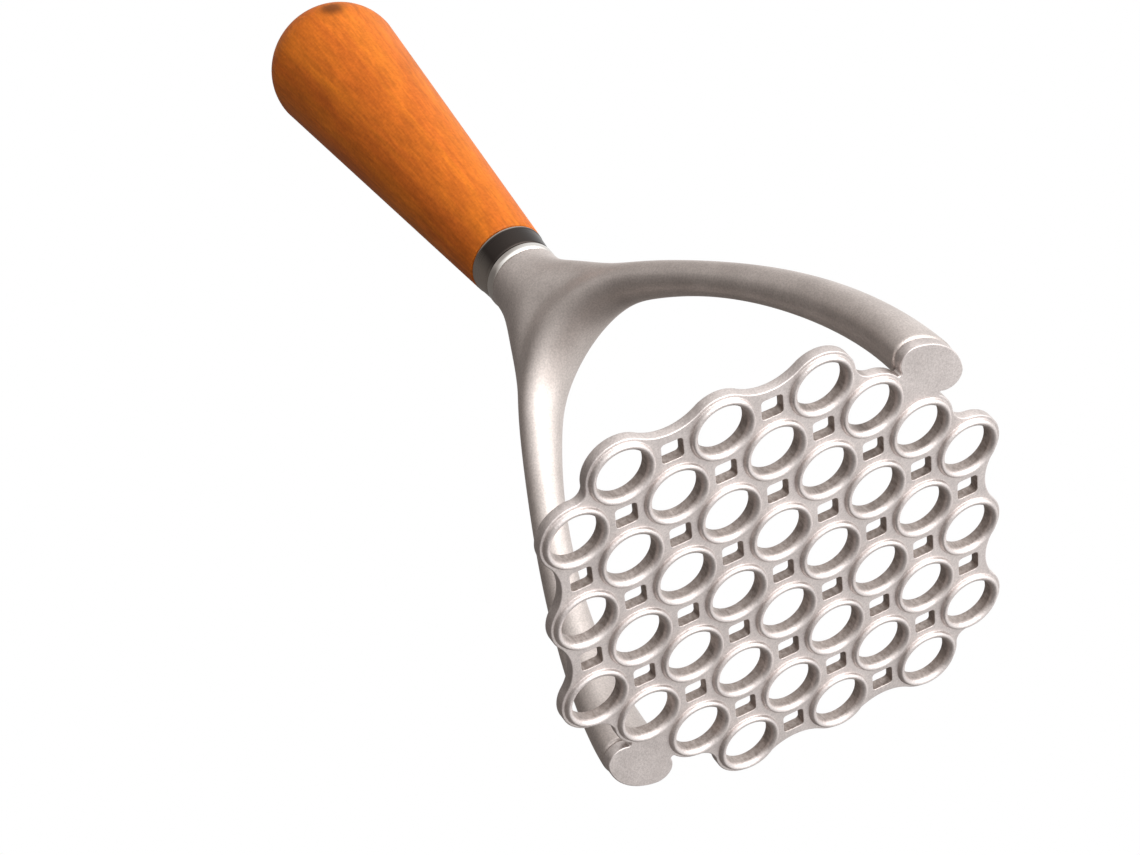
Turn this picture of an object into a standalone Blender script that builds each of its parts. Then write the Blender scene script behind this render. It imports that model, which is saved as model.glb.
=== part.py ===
"""Potato masher: a pierced cast plate, a cast yoke and a turned wooden handle.

It stands upright on the plate's ring beads, Z = 0, with the handle's axis on Z.
X runs across the yoke from one arm to the other, and Y along the plate.
Sizes are in metres. The part is rigid: nothing on it moves in use.
"""

import math

import bmesh
import bpy
from mathutils import Vector

# Clearance between neighbouring pieces
GAP = 0.0003

# Plate: rings on a square lattice, each a bore inside a raised bead
BORE_RADIUS = 0.00565
BEAD_WIDTH = 0.0017
BEAD_HEIGHT = 0.0010
BEAD_FLAT = 0.0006
BEAD_SPACING = 0.0013
COLUMN_RINGS = (8, 6, 4)
WEB_THICKNESS = 0.0025
RIM_WIDTH = 0.0008
SQUARE_WALL = 0.00155
SQUARE_CORNER = 0.0008

# Plate's edge: fillets between the outer rings, by where they lie
SIDE_FILLET = 0.0048
STEP_FILLET = 0.0115
END_FILLET = 0.0026
LUG_FILLET = 0.001

# Lugs: the ovals that the arms stand on
LUG_REACH = 0.0125
LUG_HALF_THICKNESS = 0.0055
LUG_HALF_WIDTH = 0.009
LUG_END_RADIUS = 0.0038

# Yoke: two arms that rise as an arch into a round hub
YOKE_HEIGHT = 0.1124
ARCH_HEIGHT = 0.101
ARCH_DROP = 0.88
ARM_LIP = 0.0003
ARM_WAIST_HALF_THICKNESS = 0.0037
ARM_WAIST_HALF_WIDTH = 0.0042
ARM_FOOT_HEIGHT = 0.040
HUB_RADIUS = 0.0086
HUB_FLARE_RADIUS = 0.0135
HUB_FLARE_DEPTH = 0.0125
CROWN_HEIGHT = 0.087
CROWN_DEPTH = 0.014
CROWN_HALF_WIDTH = 0.0084

# Spacer ring and ferrule between the hub and the wood
SPACER_RADIUS = 0.0089
SPACER_HEIGHT = 0.0021
SPACER_EDGE = 0.0004
FERRULE_BOTTOM_RADIUS = 0.0088
FERRULE_TOP_RADIUS = 0.0094
FERRULE_HEIGHT = 0.0062
FERRULE_WALL = 0.0016
FERRULE_FLOOR = 0.0012
FERRULE_EDGE = 0.0004

# Handle: a cone that runs tangent into a rounded butt
HANDLE_LENGTH = 0.1090
HANDLE_NECK_RADIUS = 0.0095
HANDLE_BELLY_RADIUS = 0.0171
HANDLE_BUTT_HEIGHT = 0.0145
HANDLE_EDGE = 0.0005
BUTT_SQUARENESS = 0.95

# Hidden fixings: a stud in a threaded insert, and a dowel in each arm's foot
STUD_RADIUS = 0.0030
STUD_IN_HUB = 0.0150
STUD_IN_INSERT = 0.0140
STUD_CHAMFER = 0.0006
INSERT_WALL = 0.0012
INSERT_LENGTH = 0.0160
INSERT_BARB = 0.0004
INSERT_BARBS = 4
STUD_END_ROOM = 0.0030
DOWEL_RADIUS = 0.0020
DOWEL_IN_LUG = 0.0013
DOWEL_IN_ARM = 0.0060
DOWEL_CHAMFER = 0.0003

# Facets
RING_SIDES = 20
TURNED_SIDES = 40
PIN_SIDES = 16
ARC_STEP = math.radians(15)
CAGE_SIDES = 8
YOKE_LEVELS = 2
BUTT_STEPS = 8
CUTTER_ROOM = 0.01

# Places that follow from the sizes above
BEAD_RADIUS = BORE_RADIUS + BEAD_WIDTH
PITCH = 2 * BEAD_RADIUS + BEAD_SPACING
RIM_RADIUS = BEAD_RADIUS + max(RIM_WIDTH, 0.6 * BEAD_SPACING)
PLATE_TOP = BEAD_HEIGHT + WEB_THICKNESS
LUG_X = (len(COLUMN_RINGS) - 0.5) * PITCH + LUG_REACH
YOKE_BOTTOM = PLATE_TOP + GAP
HUB_TOP = YOKE_BOTTOM + YOKE_HEIGHT
SPACER_BOTTOM = HUB_TOP + GAP
FERRULE_BOTTOM = SPACER_BOTTOM + SPACER_HEIGHT + GAP
FERRULE_TOP = FERRULE_BOTTOM + FERRULE_HEIGHT
SHOULDER = FERRULE_TOP + GAP
TENON_BOTTOM = FERRULE_BOTTOM + FERRULE_FLOOR + GAP
TENON_RADIUS = FERRULE_BOTTOM_RADIUS - FERRULE_WALL - GAP
STUD_HOLE = STUD_RADIUS + GAP
DOWEL_HOLE = DOWEL_RADIUS + GAP
INSERT_BOTTOM = TENON_BOTTOM
INSERT_RADIUS = STUD_HOLE + INSERT_WALL


def clear_scene():
    for item in list(bpy.data.objects):
        bpy.data.objects.remove(item, do_unlink=True)


def material(name, colour, roughness, metallic):
    made = bpy.data.materials.new(name)
    made.use_nodes = True
    shader = made.node_tree.nodes["Principled BSDF"]
    shader.inputs["Base Color"].default_value = (*colour, 1.0)
    shader.inputs["Roughness"].default_value = roughness
    shader.inputs["Metallic"].default_value = metallic
    return made


def add_object(name, bm, finish=None, smooth_angle=35):
    """The bmesh as a named object, with its faces turned outwards."""
    bmesh.ops.recalc_face_normals(bm, faces=bm.faces)
    mesh = bpy.data.meshes.new(name)
    bm.to_mesh(mesh)
    bm.free()
    made = bpy.data.objects.new(name, mesh)
    bpy.context.collection.objects.link(made)
    if finish:
        mesh.materials.append(finish)
        mesh.shade_smooth()
        mesh.set_sharp_from_angle(angle=math.radians(smooth_angle))
    return made


def circle(centre, radius, sides, z):
    """Points of a regular polygon, anticlockwise from the +X side."""
    turns = (2 * math.pi * k / sides for k in range(sides))
    return [Vector((centre[0] + radius * math.cos(t), centre[1] + radius * math.sin(t), z)) for t in turns]


def add_loop(bm, points):
    return [bm.verts.new(point) for point in points]


def bridge(bm, lower, upper):
    """A closed band of four-sided faces between two loops of as many points."""
    for k in range(len(lower)):
        after = (k + 1) % len(lower)
        bm.faces.new((lower[k], lower[after], upper[after], upper[k]))


def fill_between(bm, loops):
    """Flat triangles inside the first loop and outside all the others."""
    edges = []
    for loop in loops:
        for k in range(len(loop)):
            pair = (loop[k - 1], loop[k])
            edges.append(bm.edges.get(pair) or bm.edges.new(pair))
    bmesh.ops.triangle_fill(bm, use_beauty=True, use_dissolve=False, edges=edges)


def turned(name, profile, sides, finish, closed=False):
    """A lathe-turned piece about Z, from (radius, z) points. A radius of 0 ends it on the axis."""
    bm = bmesh.new()
    loops = []
    for radius, z in profile:
        if radius == 0:
            loops.append(bm.verts.new((0, 0, z)))
        else:
            loops.append(add_loop(bm, circle((0, 0), radius, sides, z)))
    pairs = list(zip(loops, loops[1:] + loops[:1] if closed else loops[1:]))
    for first, second in pairs:
        if isinstance(first, list) and isinstance(second, list):
            bridge(bm, first, second)
            continue
        tip, loop = (first, second) if isinstance(second, list) else (second, first)
        for k in range(sides):
            bm.faces.new((loop[k - 1], loop[k], tip))
    return add_object(name, bm, finish)


def cut(target, cutter):
    """Takes the cutter's shape out of the target, and leaves the cutter as a hidden guide."""
    cutter.hide_render = True
    cutter.display_type = "WIRE"
    modifier = target.modifiers.new("Cut " + cutter.name, "BOOLEAN")
    modifier.operation = "DIFFERENCE"
    modifier.solver = "EXACT"
    modifier.object = cutter


def pin_cutter(name, centre, radius, bottom, top):
    bm = bmesh.new()
    lower = add_loop(bm, circle(centre, radius, PIN_SIDES, bottom))
    upper = add_loop(bm, circle(centre, radius, PIN_SIDES, top))
    bridge(bm, lower, upper)
    bm.faces.new(lower)
    bm.faces.new(upper)
    return add_object(name, bm)


def block_cutter(name, bottom, top):
    """A slab wider than the whole part, from one height to another."""
    reach = 2 * (LUG_X + LUG_HALF_WIDTH)
    bm = bmesh.new()
    corners = [(-reach, -reach), (reach, -reach), (reach, reach), (-reach, reach)]
    lower = add_loop(bm, [Vector((x, y, bottom)) for x, y in corners])
    upper = add_loop(bm, [Vector((x, y, top)) for x, y in corners])
    bridge(bm, lower, upper)
    bm.faces.new(lower)
    bm.faces.new(upper)
    return add_object(name, bm)


def ring_centres():
    """Every ring's centre: columns either side of X = 0, each centred on Y = 0."""
    centres = []
    for column, rings in enumerate(COLUMN_RINGS):
        for side in (-1, 1):
            for row in range(rings):
                centres.append((side * (column + 0.5) * PITCH, (row - (rings - 1) / 2) * PITCH))
    return centres


def square_centres():
    """The gaps in the lattice that have a ring at three or four of their corners."""
    rings = {(round(x / PITCH, 1), round(y / PITCH, 1)) for x, y in ring_centres()}
    reach = max(COLUMN_RINGS) // 2
    found = []
    for i in range(-reach, reach + 1):
        for j in range(-reach, reach + 1):
            corners = [(i + u, j + v) for u in (-0.5, 0.5) for v in (-0.5, 0.5)]
            if sum(corner in rings for corner in corners) >= 3:
                found.append((i * PITCH, j * PITCH))
    return found


def square_points(centre, z):
    """A square turned by 45 degrees, its sides facing the beads, with rounded corners."""
    half_side = PITCH * math.sqrt(0.5) - BEAD_RADIUS - SQUARE_WALL
    corner = min(SQUARE_CORNER, 0.6 * half_side)
    out = math.sqrt(2) * (half_side - corner)
    points = []
    for quarter in range(4):
        middle = quarter * math.pi / 2
        start = (centre[0] + out * math.cos(middle), centre[1] + out * math.sin(middle))
        for bend in (-math.pi / 4, 0, math.pi / 4):
            turn = middle + bend
            x, y = start[0] + corner * math.cos(turn), start[1] + corner * math.sin(turn)
            points.append(Vector((x, y, z)))
    return points


def edge_rings():
    """The outer rings of one quarter of the plate, from the lug to the end, with the fillet after each."""
    found = []
    inner_rows = 0
    for column in reversed(range(len(COLUMN_RINGS))):
        rows = COLUMN_RINGS[column] // 2
        for row in range(inner_rows, rows):
            last = row == rows - 1
            fillet = SIDE_FILLET if not last else (STEP_FILLET if column else END_FILLET)
            found.append((((column + 0.5) * PITCH, (row + 0.5) * PITCH, RIM_RADIUS), fillet))
        inner_rows = rows
    return found


def edge_chain():
    """The plate's edge as circles, anticlockwise, each with the fillet that leads to the next.

    A fillet of None marks circles that touch from inside, as at the lug's long outer side.
    """
    side_radius = (
        LUG_HALF_THICKNESS**2 + (LUG_HALF_WIDTH - LUG_END_RADIUS) ** 2 - LUG_END_RADIUS**2
    ) / (2 * (LUG_HALF_THICKNESS - LUG_END_RADIUS))
    end_y = LUG_HALF_WIDTH - LUG_END_RADIUS
    quarter = edge_rings()
    circles = [ring for ring, _ in quarter]
    fillets = [fillet for _, fillet in quarter]
    chain = [((LUG_X + LUG_HALF_THICKNESS - side_radius, 0.0, side_radius), None)]
    chain.append(((LUG_X, end_y, LUG_END_RADIUS), LUG_FILLET))
    chain += list(zip(circles, fillets))
    back = [((-x, y, r)) for x, y, r in reversed(circles)]
    chain += list(zip(back, fillets[-2::-1] + [LUG_FILLET]))
    chain.append(((-LUG_X, end_y, LUG_END_RADIUS), None))
    half = list(chain)
    chain += [((-x, -y, r), fillet) for (x, y, r), fillet in half]
    return chain


def meeting_point(first, second, fillet):
    """(end of the first arc, start of the second, centre of the fillet between them or None)."""
    a, b = Vector(first[:2]), Vector(second[:2])
    line = b - a
    if fillet is None:
        big, small = (first, second) if first[2] > second[2] else (second, first)
        away = (Vector(small[:2]) - Vector(big[:2])).normalized()
        touch = Vector(small[:2]) + away * small[2]
        return touch, touch, None
    reach_a, reach_b = first[2] + fillet, second[2] + fillet
    along = (reach_a**2 - reach_b**2 + line.length_squared) / (2 * line.length)
    aside = math.sqrt(max(reach_a**2 - along**2, 0.0))
    unit = line.normalized()
    centre = a + unit * along + Vector((unit.y, -unit.x)) * aside
    return a + (centre - a) * first[2] / reach_a, b + (centre - b) * second[2] / reach_b, centre


def arc(centre, start, end, direction):
    """Points from start up to but without end. Direction is 1 for anticlockwise and -1 for clockwise."""
    first, last = start - centre, end - centre
    angle = math.atan2(first.x * last.y - first.y * last.x, first.dot(last))
    if angle * direction < 0:
        angle += direction * 2 * math.pi
    steps = max(2, math.ceil(abs(angle) / ARC_STEP))
    begin = math.atan2(first.y, first.x)
    turns = (begin + angle * k / steps for k in range(steps))
    return [centre + first.length * Vector((math.cos(t), math.sin(t))) for t in turns]


def edge_points():
    """The plate's outline as one closed run of arcs."""
    chain = edge_chain()
    links = []
    for k, (first, fillet) in enumerate(chain):
        links.append(meeting_point(first, chain[(k + 1) % len(chain)][0], fillet))
    points = []
    for k, (ring, _) in enumerate(chain):
        points += arc(Vector(ring[:2]), links[k - 1][1], links[k][0], 1)
        leave, enter, centre = links[k]
        if centre is not None:
            points += arc(centre, leave, enter, -1)
    return points


def bead_profile():
    """(radius, height) from the web's underside over the bead and up the bore."""
    crest = BORE_RADIUS + BEAD_WIDTH / 2
    flat = min(BEAD_FLAT, BEAD_WIDTH / 2) / 2
    return [
        (BEAD_RADIUS, BEAD_HEIGHT),
        (BEAD_RADIUS - 0.1 * BEAD_WIDTH, 0.3 * BEAD_HEIGHT),
        (crest + flat, 0.0),
        (crest - flat, 0.0),
        (BORE_RADIUS, 0.7 * BEAD_HEIGHT),
        (BORE_RADIUS, PLATE_TOP),
    ]


def make_plate(finish):
    bm = bmesh.new()
    outline = edge_points()
    under = [add_loop(bm, [Vector((p.x, p.y, BEAD_HEIGHT)) for p in outline])]
    over = [add_loop(bm, [Vector((p.x, p.y, PLATE_TOP)) for p in outline])]
    bridge(bm, under[0], over[0])
    for centre in ring_centres():
        loops = [add_loop(bm, circle(centre, radius, RING_SIDES, z)) for radius, z in bead_profile()]
        for lower, upper in zip(loops, loops[1:]):
            bridge(bm, lower, upper)
        under.append(loops[0])
        over.append(loops[-1])
    for centre in square_centres():
        lower = add_loop(bm, square_points(centre, BEAD_HEIGHT))
        upper = add_loop(bm, square_points(centre, PLATE_TOP))
        bridge(bm, lower, upper)
        under.append(lower)
        over.append(upper)
    for side in (-1, 1):
        centre = (side * LUG_X, 0)
        mouth = add_loop(bm, circle(centre, DOWEL_HOLE, PIN_SIDES, PLATE_TOP))
        floor = add_loop(bm, circle(centre, DOWEL_HOLE, PIN_SIDES, PLATE_TOP - DOWEL_IN_LUG - GAP))
        bridge(bm, floor, mouth)
        bm.faces.new(floor)
        over.append(mouth)
    fill_between(bm, under)
    fill_between(bm, over)
    return add_object("mashing_plate", bm, finish, 30)


def arch_centre(height):
    """X of the arm's middle line at a height above its foot. It leans in slowly, then quickly."""
    share = height / ARCH_HEIGHT
    return LUG_X * (1 - ARCH_DROP * share**1.8 - (1 - ARCH_DROP) * share**8)


def arm_section(share):
    """(centre, outward direction, half thickness, half width) at a share of the arm's height."""
    height = share * ARCH_HEIGHT
    step = ARCH_HEIGHT * 0.001
    slope = (arch_centre(height + step) - arch_centre(height - step)) / (2 * step) if height > step else 0.0
    outward = Vector((1, 0, -slope)).normalized()
    foot = max(0.0, 1 - height / ARM_FOOT_HEIGHT)
    rise = min(1.0, share / 0.62)
    foot_thickness = LUG_HALF_THICKNESS + ARM_LIP
    foot_width = LUG_HALF_WIDTH + ARM_LIP
    thickness = foot_thickness + (ARM_WAIST_HALF_THICKNESS - foot_thickness) * rise
    width = ARM_WAIST_HALF_WIDTH + (foot_width - ARM_WAIST_HALF_WIDTH) * foot**1.5
    flare = max(0.0, share - 0.62) / 0.38
    width += (CROWN_HALF_WIDTH - ARM_WAIST_HALF_WIDTH) * flare**1.5
    thickness += 0.3 * ARM_WAIST_HALF_THICKNESS * flare
    return Vector((arch_centre(height), 0, YOKE_BOTTOM + height)), outward, thickness, width


def section_points(centre, outward, thickness, width):
    """Eight points round one section of the arch. The smooth surface runs inside them, hence the growth."""
    growth = 3 / (2 + math.cos(2 * math.pi / CAGE_SIDES))
    points = []
    for k in range(CAGE_SIDES):
        turn = 2 * math.pi * k / CAGE_SIDES
        across = outward * (math.cos(turn) * thickness * growth)
        points.append(centre + across + Vector((0, math.sin(turn) * width * growth, 0)))
    return points


def arm_loops(bm, side):
    """Sections up one arm, from below its foot to the side of the hub."""
    centre, outward, thickness, width = arm_section(0.0)
    sections = [(centre - Vector((0, 0, CUTTER_ROOM)), outward, thickness, width)]
    sections += [arm_section(share) for share in (0.0, 0.09, 0.19, 0.30, 0.42, 0.54, 0.66, 0.77, 0.86)]
    loops = []
    for section in sections:
        loops.append(add_loop(bm, [Vector((side * p.x, p.y, p.z)) for p in section_points(*section)]))
    return loops


def add_crown(bm, right, left):
    """Joins the arms' last sections below the hub. It returns the loop round the opening on top."""
    centre = Vector((0, 0, YOKE_BOTTOM + CROWN_HEIGHT + CROWN_DEPTH / 2))
    corners = section_points(centre, Vector((0, 0, 1)), CROWN_DEPTH / 2, CROWN_HALF_WIDTH)
    middle = [None] + add_loop(bm, corners[1:])
    for k in range(1, CAGE_SIDES - 1):
        for arm in (right, left):
            bm.faces.new((arm[k], arm[k + 1], middle[k + 1], middle[k]))
    front = [left[CAGE_SIDES - 1], middle[CAGE_SIDES - 1], right[CAGE_SIDES - 1]]
    return [right[0], right[1], middle[1], left[1], left[0]] + front


def hub_loops(bm):
    """Rings up the hub, wide along X where the arms run into it and round at the top."""
    growth = 3 / (2 + math.cos(2 * math.pi / CAGE_SIDES))
    loops = []
    for drop, flare in ((1.0, 1.0), (0.5, 0.16), (0.0, 0.0), (-1.0, 0.0)):
        ring = circle((0, 0), HUB_RADIUS * growth, CAGE_SIDES, HUB_TOP - drop * HUB_FLARE_DEPTH)
        widening = 1 + flare * (HUB_FLARE_RADIUS / HUB_RADIUS - 1)
        loops.append(add_loop(bm, [Vector((p.x * widening, p.y, p.z)) for p in ring]))
    return loops


def yoke_cage():
    """Eight-sided sections over the arch, opened at the crown into the eight-sided hub."""
    bm = bmesh.new()
    right, left = arm_loops(bm, 1), arm_loops(bm, -1)
    hub = [add_crown(bm, right[-1], left[-1])] + hub_loops(bm)
    for loops in (right, left, hub):
        for lower, upper in zip(loops, loops[1:]):
            bridge(bm, lower, upper)
    for end in (right[0], left[0], hub[-1]):
        bm.faces.new(end)
    return bm


def make_yoke(finish):
    """The smoothed cage, cut flat at the feet and the hub, with holes for the stud and the dowels."""
    yoke = add_object("yoke", yoke_cage(), finish)
    smooth = yoke.modifiers.new("Smooth cage", "SUBSURF")
    smooth.levels = YOKE_LEVELS
    smooth.render_levels = YOKE_LEVELS
    cut(yoke, block_cutter("cut_feet", YOKE_BOTTOM - 2 * CUTTER_ROOM, YOKE_BOTTOM))
    cut(yoke, block_cutter("cut_hub", HUB_TOP, HUB_TOP + HUB_FLARE_DEPTH + CUTTER_ROOM))
    hole_floor = HUB_TOP - STUD_IN_HUB - GAP
    cut(yoke, pin_cutter("cut_stud_hole", (0, 0), STUD_HOLE, hole_floor, HUB_TOP + CUTTER_ROOM))
    for name, side in (("cut_dowel_right", 1), ("cut_dowel_left", -1)):
        top = YOKE_BOTTOM + DOWEL_IN_ARM + GAP
        cut(yoke, pin_cutter(name, (side * LUG_X, 0), DOWEL_HOLE, YOKE_BOTTOM - CUTTER_ROOM, top))
    return yoke


def make_spacer(finish):
    top = SPACER_BOTTOM + SPACER_HEIGHT
    edge = min(SPACER_EDGE, 0.4 * SPACER_HEIGHT)
    profile = [
        (STUD_HOLE, SPACER_BOTTOM),
        (SPACER_RADIUS - edge, SPACER_BOTTOM),
        (SPACER_RADIUS, SPACER_BOTTOM + edge),
        (SPACER_RADIUS, top - edge),
        (SPACER_RADIUS - edge, top),
        (STUD_HOLE, top),
    ]
    return turned("spacer_ring", profile, TURNED_SIDES, finish, closed=True)


def make_ferrule(finish):
    """A cup that tapers towards the hub, with the stud's hole in its floor."""
    inside = TENON_RADIUS + GAP
    profile = [
        (STUD_HOLE, FERRULE_BOTTOM),
        (FERRULE_BOTTOM_RADIUS - FERRULE_EDGE, FERRULE_BOTTOM),
        (FERRULE_BOTTOM_RADIUS, FERRULE_BOTTOM + FERRULE_EDGE),
        (FERRULE_TOP_RADIUS, FERRULE_TOP - FERRULE_EDGE),
        (FERRULE_TOP_RADIUS - FERRULE_EDGE, FERRULE_TOP),
        (inside, FERRULE_TOP),
        (inside, FERRULE_BOTTOM + FERRULE_FLOOR),
        (STUD_HOLE, FERRULE_BOTTOM + FERRULE_FLOOR),
    ]
    return turned("ferrule", profile, TURNED_SIDES, finish, closed=True)


def insert_outline():
    """(radius, z) up the insert's barbed outside. The barbs point down, against a pull on the stud."""
    step = INSERT_LENGTH / (INSERT_BARBS + 1)
    outline = [(INSERT_RADIUS, INSERT_BOTTOM)]
    for k in range(INSERT_BARBS):
        z = INSERT_BOTTOM + (k + 0.5) * step
        outline.append((INSERT_RADIUS, z))
        outline.append((INSERT_RADIUS + INSERT_BARB, z + 0.15 * step))
        outline.append((INSERT_RADIUS, z + 0.9 * step))
    outline.append((INSERT_RADIUS, INSERT_BOTTOM + INSERT_LENGTH))
    return outline


def make_insert(finish):
    profile = insert_outline()
    profile.append((STUD_HOLE, INSERT_BOTTOM + INSERT_LENGTH))
    profile.append((STUD_HOLE, INSERT_BOTTOM))
    return turned("threaded_insert", profile, PIN_SIDES, finish, closed=True)


def make_handle(finish):
    """From the bore that holds the insert, round the tenon and up the wood's outside to the butt."""
    belly = SHOULDER + HANDLE_LENGTH - HANDLE_BUTT_HEIGHT
    bore = INSERT_RADIUS + INSERT_BARB + GAP
    bore_top = INSERT_BOTTOM + INSERT_LENGTH + GAP
    profile = [
        (0, bore_top + STUD_END_ROOM),
        (STUD_HOLE, bore_top + STUD_END_ROOM),
        (STUD_HOLE, bore_top),
        (bore, bore_top),
        (bore, TENON_BOTTOM),
        (TENON_RADIUS, TENON_BOTTOM),
        (TENON_RADIUS, SHOULDER),
        (HANDLE_NECK_RADIUS - HANDLE_EDGE, SHOULDER),
        (HANDLE_NECK_RADIUS, SHOULDER + HANDLE_EDGE),
    ]
    for share in (0.25, 0.5, 0.75):
        radius = HANDLE_NECK_RADIUS + share * (HANDLE_BELLY_RADIUS - HANDLE_NECK_RADIUS)
        profile.append((radius, SHOULDER + share * (belly - SHOULDER)))
    for k in range(BUTT_STEPS):
        turn = math.pi / 2 * k / BUTT_STEPS
        radius = HANDLE_BELLY_RADIUS * math.cos(turn) ** BUTT_SQUARENESS
        profile.append((radius, belly + HANDLE_BUTT_HEIGHT * math.sin(turn)))
    profile.append((0, SHOULDER + HANDLE_LENGTH))
    return turned("handle", profile, TURNED_SIDES, finish)


def make_pin(name, centre, radius, bottom, top, chamfer, finish):
    bm = bmesh.new()
    profile = [(radius - chamfer, bottom), (radius, bottom + chamfer)]
    profile += [(radius, top - chamfer), (radius - chamfer, top)]
    loops = [add_loop(bm, circle(centre, size, PIN_SIDES, z)) for size, z in profile]
    for lower, upper in zip(loops, loops[1:]):
        bridge(bm, lower, upper)
    bm.faces.new(loops[0])
    bm.faces.new(loops[-1])
    return add_object(name, bm, finish)


def build():
    clear_scene()
    cast = material("Blasted aluminium", (0.50, 0.47, 0.45), 0.45, 1.0)
    sanded = material("Sandblasted plate aluminium", (0.66, 0.63, 0.61), 0.5, 1.0)
    polished = material("Polished ring", (0.80, 0.78, 0.75), 0.15, 1.0)
    gunmetal = material("Dark ferrule metal", (0.09, 0.08, 0.07), 0.35, 1.0)
    wood = material("Varnished wood", (0.60, 0.21, 0.05), 0.35, 0.0)
    brass = material("Brass", (0.70, 0.50, 0.20), 0.35, 1.0)
    steel = material("Steel", (0.45, 0.45, 0.46), 0.35, 1.0)
    make_plate(sanded)
    make_yoke(cast)
    make_spacer(polished)
    make_ferrule(gunmetal)
    make_handle(wood)
    make_insert(brass)
    stud = (HUB_TOP - STUD_IN_HUB, INSERT_BOTTOM + STUD_IN_INSERT, STUD_CHAMFER)
    make_pin("stud", (0, 0), STUD_RADIUS, *stud, steel)
    dowel = (PLATE_TOP - DOWEL_IN_LUG, YOKE_BOTTOM + DOWEL_IN_ARM, DOWEL_CHAMFER)
    make_pin("dowel_right", (LUG_X, 0), DOWEL_RADIUS, *dowel, steel)
    make_pin("dowel_left", (-LUG_X, 0), DOWEL_RADIUS, *dowel, steel)


build()
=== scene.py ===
"""A potato masher: a pierced cast plate, a two-armed cast yoke and a turned wooden handle.

Lengths are in metres in the frame of the solids, with the plate's ring beads on Z = 0.
"""

import math

import bmesh
import bpy
import numpy as np
from mathutils import Euler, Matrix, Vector
from mathutils.geometry import delaunay_2d_cdt


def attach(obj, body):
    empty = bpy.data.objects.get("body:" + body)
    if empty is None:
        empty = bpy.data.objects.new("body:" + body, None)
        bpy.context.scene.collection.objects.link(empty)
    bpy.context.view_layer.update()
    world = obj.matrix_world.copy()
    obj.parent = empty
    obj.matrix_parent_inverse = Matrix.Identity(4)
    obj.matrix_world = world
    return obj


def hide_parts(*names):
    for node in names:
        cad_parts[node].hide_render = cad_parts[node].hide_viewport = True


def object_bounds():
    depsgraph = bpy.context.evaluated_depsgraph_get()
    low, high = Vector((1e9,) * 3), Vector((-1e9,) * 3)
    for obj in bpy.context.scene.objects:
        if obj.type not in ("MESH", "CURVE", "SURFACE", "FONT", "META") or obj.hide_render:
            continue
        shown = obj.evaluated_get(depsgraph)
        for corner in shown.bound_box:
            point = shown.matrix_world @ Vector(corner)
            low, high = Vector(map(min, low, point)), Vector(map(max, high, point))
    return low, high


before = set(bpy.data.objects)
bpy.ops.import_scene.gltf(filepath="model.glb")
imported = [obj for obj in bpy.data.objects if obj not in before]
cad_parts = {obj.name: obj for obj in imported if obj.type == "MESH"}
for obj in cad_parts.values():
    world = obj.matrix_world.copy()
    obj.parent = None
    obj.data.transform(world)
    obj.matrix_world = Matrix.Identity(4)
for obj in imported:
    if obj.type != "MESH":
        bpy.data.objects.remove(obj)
solid_low, solid_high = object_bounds()

# ---------------------------------------------------------------------------
# The camera looks up at the plate from the front and below, as at a masher held up to be seen.

camera_data = bpy.data.cameras.new("photo_camera")
camera_data.lens = 98.38
camera_data.sensor_width = 36.0
camera_data.shift_y = 0.0018
camera = bpy.data.objects.new("photo_camera", camera_data)
camera.location = (0.1651, -0.4748, -0.4029)
camera.rotation_euler = Euler([math.radians(t) for t in (141.0645, 28.1265, 51.1020)], "XYZ")
bpy.context.scene.collection.objects.link(camera)
bpy.context.scene.camera = camera
bpy.context.scene.view_settings.view_transform = "Standard"

# ---------------------------------------------------------------------------
# The mashing plate is one aluminium casting. Each ring is a bore in a raised half-round bead, small
# square holes lie between the rings, and an oval lug on either side carries an arm. It was cast in
# sand and then sandblasted, so its skin is pale, matt and a little pitted.

PITCH = 0.0160
COLUMN_RINGS = (8, 6, 4)
WEB_FRONT, WEB_BACK = 0.0010, 0.0035
BORE, CREST, ROOT, RIM = 0.00565, 0.0067, 0.0075, 0.00815
OUTER_WIDTH, OUTER_RISE = 0.00065, WEB_FRONT
INNER_WIDTH, INNER_RISE = 0.0011, 0.00164
BORE_START, BORE_MIDDLE = 0.00122, 0.0022
SIDE_FILLET, STEP_FILLET, END_FILLET, LUG_FILLET = 0.0048, 0.0115, 0.0026, 0.0005
LUG_X, LUG_THICK, LUG_WIDE, LUG_END = 0.0525, 0.0055, 0.009, 0.0038
SQUARE_HALF, SQUARE_CORNER, SQUARE_LIP = 0.002413, 0.0008, 0.00018
DOWEL_HOLE, DOWEL_FLOOR = 0.0023, 0.0019
BACK_ROUND, FRONT_ROUND_LEAST, FRONT_ROUND_MOST = 0.0003, 0.0001, 0.00025
SEAM = 0.00002  # the flat strip that borders a rounded edge
EDGE_INSET = 0.00004  # keeps the outline just inside that of the solids
ARC_STEP = 0.055  # radians between an arc's points
SHARP_ANGLE = math.radians(40)
NOISE_LOW, NOISE_HIGH = 0.3, 0.7  # nearly all of a noise lies between these
NOISE_SPAN = {"From Min": NOISE_LOW, "From Max": NOISE_HIGH}
WHITE = (1.0, 1.0, 1.0, 1.0)


def linear(code):
    """The linear colour of an sRGB hex value."""
    shares = [int(code[k : k + 2], 16) / 255 for k in (0, 2, 4)]
    return (*(c / 12.92 if c <= 0.04045 else ((c + 0.055) / 1.055) ** 2.4 for c in shares), 1.0)


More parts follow.
